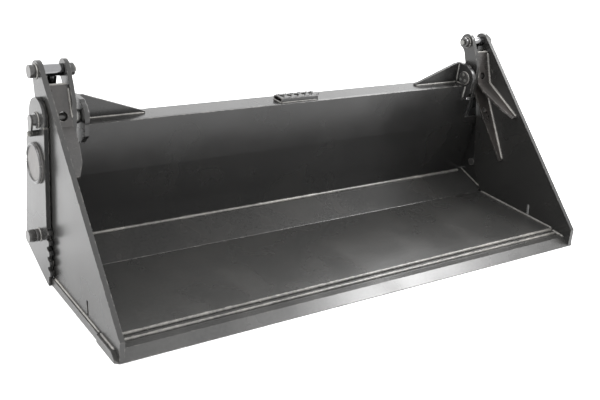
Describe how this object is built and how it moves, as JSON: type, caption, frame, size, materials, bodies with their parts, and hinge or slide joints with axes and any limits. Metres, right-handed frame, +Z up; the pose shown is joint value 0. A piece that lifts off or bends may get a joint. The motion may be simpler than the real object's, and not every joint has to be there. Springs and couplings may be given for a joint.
{
  "type": "skid steer four-in-one bucket",
  "caption": "Clamshell loader bucket: a welded back frame with a hinged clam, pins, hydraulic cylinders and a universal coupler plate.",
  "frame": {"origin": "ground level, centre of the closed bucket in width and depth", "axes": "+X across the width to the right as seen from the mouth, +Y to the loader, +Z up; the mouth faces -Y"},
  "size_m": [1.936, 0.77, 0.66],
  "materials": {
    "frame_paint": "satin charcoal paint over welded plate",
    "edge_paint": "satin charcoal paint on hardened plate",
    "coupler_paint": "satin charcoal paint",
    "pin_paint": "satin charcoal paint on steel",
    "zinc_hardware": "zinc plated",
    "clam_paint": "satin charcoal paint over welded plate",
    "bush_steel": "turned",
    "cylinder_paint": "gloss black paint",
    "gland_black": "gloss black paint",
    "rod_chrome": "ground and polished",
    "piston_iron": "machined"
  },
  "bodies": {
    "frame": {"moldboard": "frame_paint", "top_beam": "frame_paint", "rear_cutting_edge": "edge_paint", "left_outer_end_plate": "frame_paint", "right_outer_end_plate": "frame_paint", "left_fixed_inner_ear": "frame_paint", "right_fixed_inner_ear": "frame_paint", "left_top_gusset": "frame_paint", "right_top_gusset": "frame_paint", "left_badge_disc": "frame_paint", "right_badge_disc": "frame_paint", "grip_step": "frame_paint", "quick_attach_plate": "coupler_paint", "quick_attach_hook": "coupler_paint", "quick_attach_lower_flange": "coupler_paint", "rear_ribs": "frame_paint", "left_cylinder_base_brackets": "frame_paint", "right_cylinder_base_brackets": "frame_paint", "left_end_spacer_bar": "frame_paint", "right_end_spacer_bar": "frame_paint", "left_main_pivot_pin": "pin_paint", "right_main_pivot_pin": "pin_paint", "left_pin_keeper": "pin_paint", "right_pin_keeper": "pin_paint", "keeper_bolts": "zinc_hardware", "main_pin_end_caps": "pin_paint", "main_pin_cap_bolts": "zinc_hardware", "main_pin_collars": "pin_paint", "left_base_pin": "pin_paint", "right_base_pin": "pin_paint", "left_stop_pin": "pin_paint", "right_stop_pin": "pin_paint", "stop_pin_collars": "pin_paint"},
    "clam": {"floor_plate": "clam_paint", "floor_wear_strips": "edge_paint", "left_side_plate": "clam_paint", "right_side_plate": "clam_paint", "front_cutting_edge": "edge_paint", "lip_strip": "edge_paint", "left_clam_inner_ear": "clam_paint", "right_clam_inner_ear": "clam_paint", "left_bent_cross_plate": "clam_paint", "right_bent_cross_plate": "clam_paint", "left_rear_leg": "clam_paint", "right_rear_leg": "clam_paint", "left_skid_runner": "edge_paint", "right_skid_runner": "edge_paint", "pivot_bushes": "bush_steel", "left_rod_pin": "pin_paint", "right_rod_pin": "pin_paint", "rod_pin_caps": "pin_paint", "rod_pin_cap_bolts": "zinc_hardware"},
    "left_barrel": {"left_cylinder_barrel": "cylinder_paint", "left_cylinder_gland": "gland_black"},
    "right_barrel": {"right_cylinder_barrel": "cylinder_paint", "right_cylinder_gland": "gland_black"},
    "left_rod": {"left_cylinder_rod": "rod_chrome", "left_cylinder_piston": "piston_iron"},
    "right_rod": {"right_cylinder_rod": "rod_chrome", "right_cylinder_piston": "piston_iron"}
  },
  "joints": [
    {"name": "clam_hinge", "type": "hinge", "parent": "frame", "child": "clam", "pos_m": [0, 0.185, 0.498], "axis": [-1, 0, 0], "range_deg": [0, 45]},
    {"name": "left_cylinder_hinge", "type": "hinge", "parent": "frame", "child": "left_barrel", "pos_m": [-0.8665, 0.302, 0.15], "axis": [-1, 0, 0], "range_deg": [0, 10.72]},
    {"name": "left_rod_hinge", "type": "hinge", "parent": "clam", "child": "left_rod", "pos_m": [-0.8665, 0.237, 0.627], "axis": [-1, 0, 0], "range_deg": [-36.28, 0]},
    {"name": "right_cylinder_hinge", "type": "hinge", "parent": "frame", "child": "right_barrel", "pos_m": [0.8665, 0.302, 0.15], "axis": [-1, 0, 0], "range_deg": [0, 10.72]},
    {"name": "right_rod_hinge", "type": "hinge", "parent": "clam", "child": "right_rod", "pos_m": [0.8665, 0.237, 0.627], "axis": [-1, 0, 0], "range_deg": [-36.28, 0]}
  ],
  "couplings": [
    {"joint": "left_cylinder_hinge", "follows": "clam_hinge", "ratio": 0.216},
    {"joint": "left_rod_hinge", "follows": "clam_hinge", "ratio": -0.784},
    {"joint": "right_cylinder_hinge", "follows": "clam_hinge", "ratio": 0.216},
    {"joint": "right_rod_hinge", "follows": "clam_hinge", "ratio": -0.784}
  ]
}
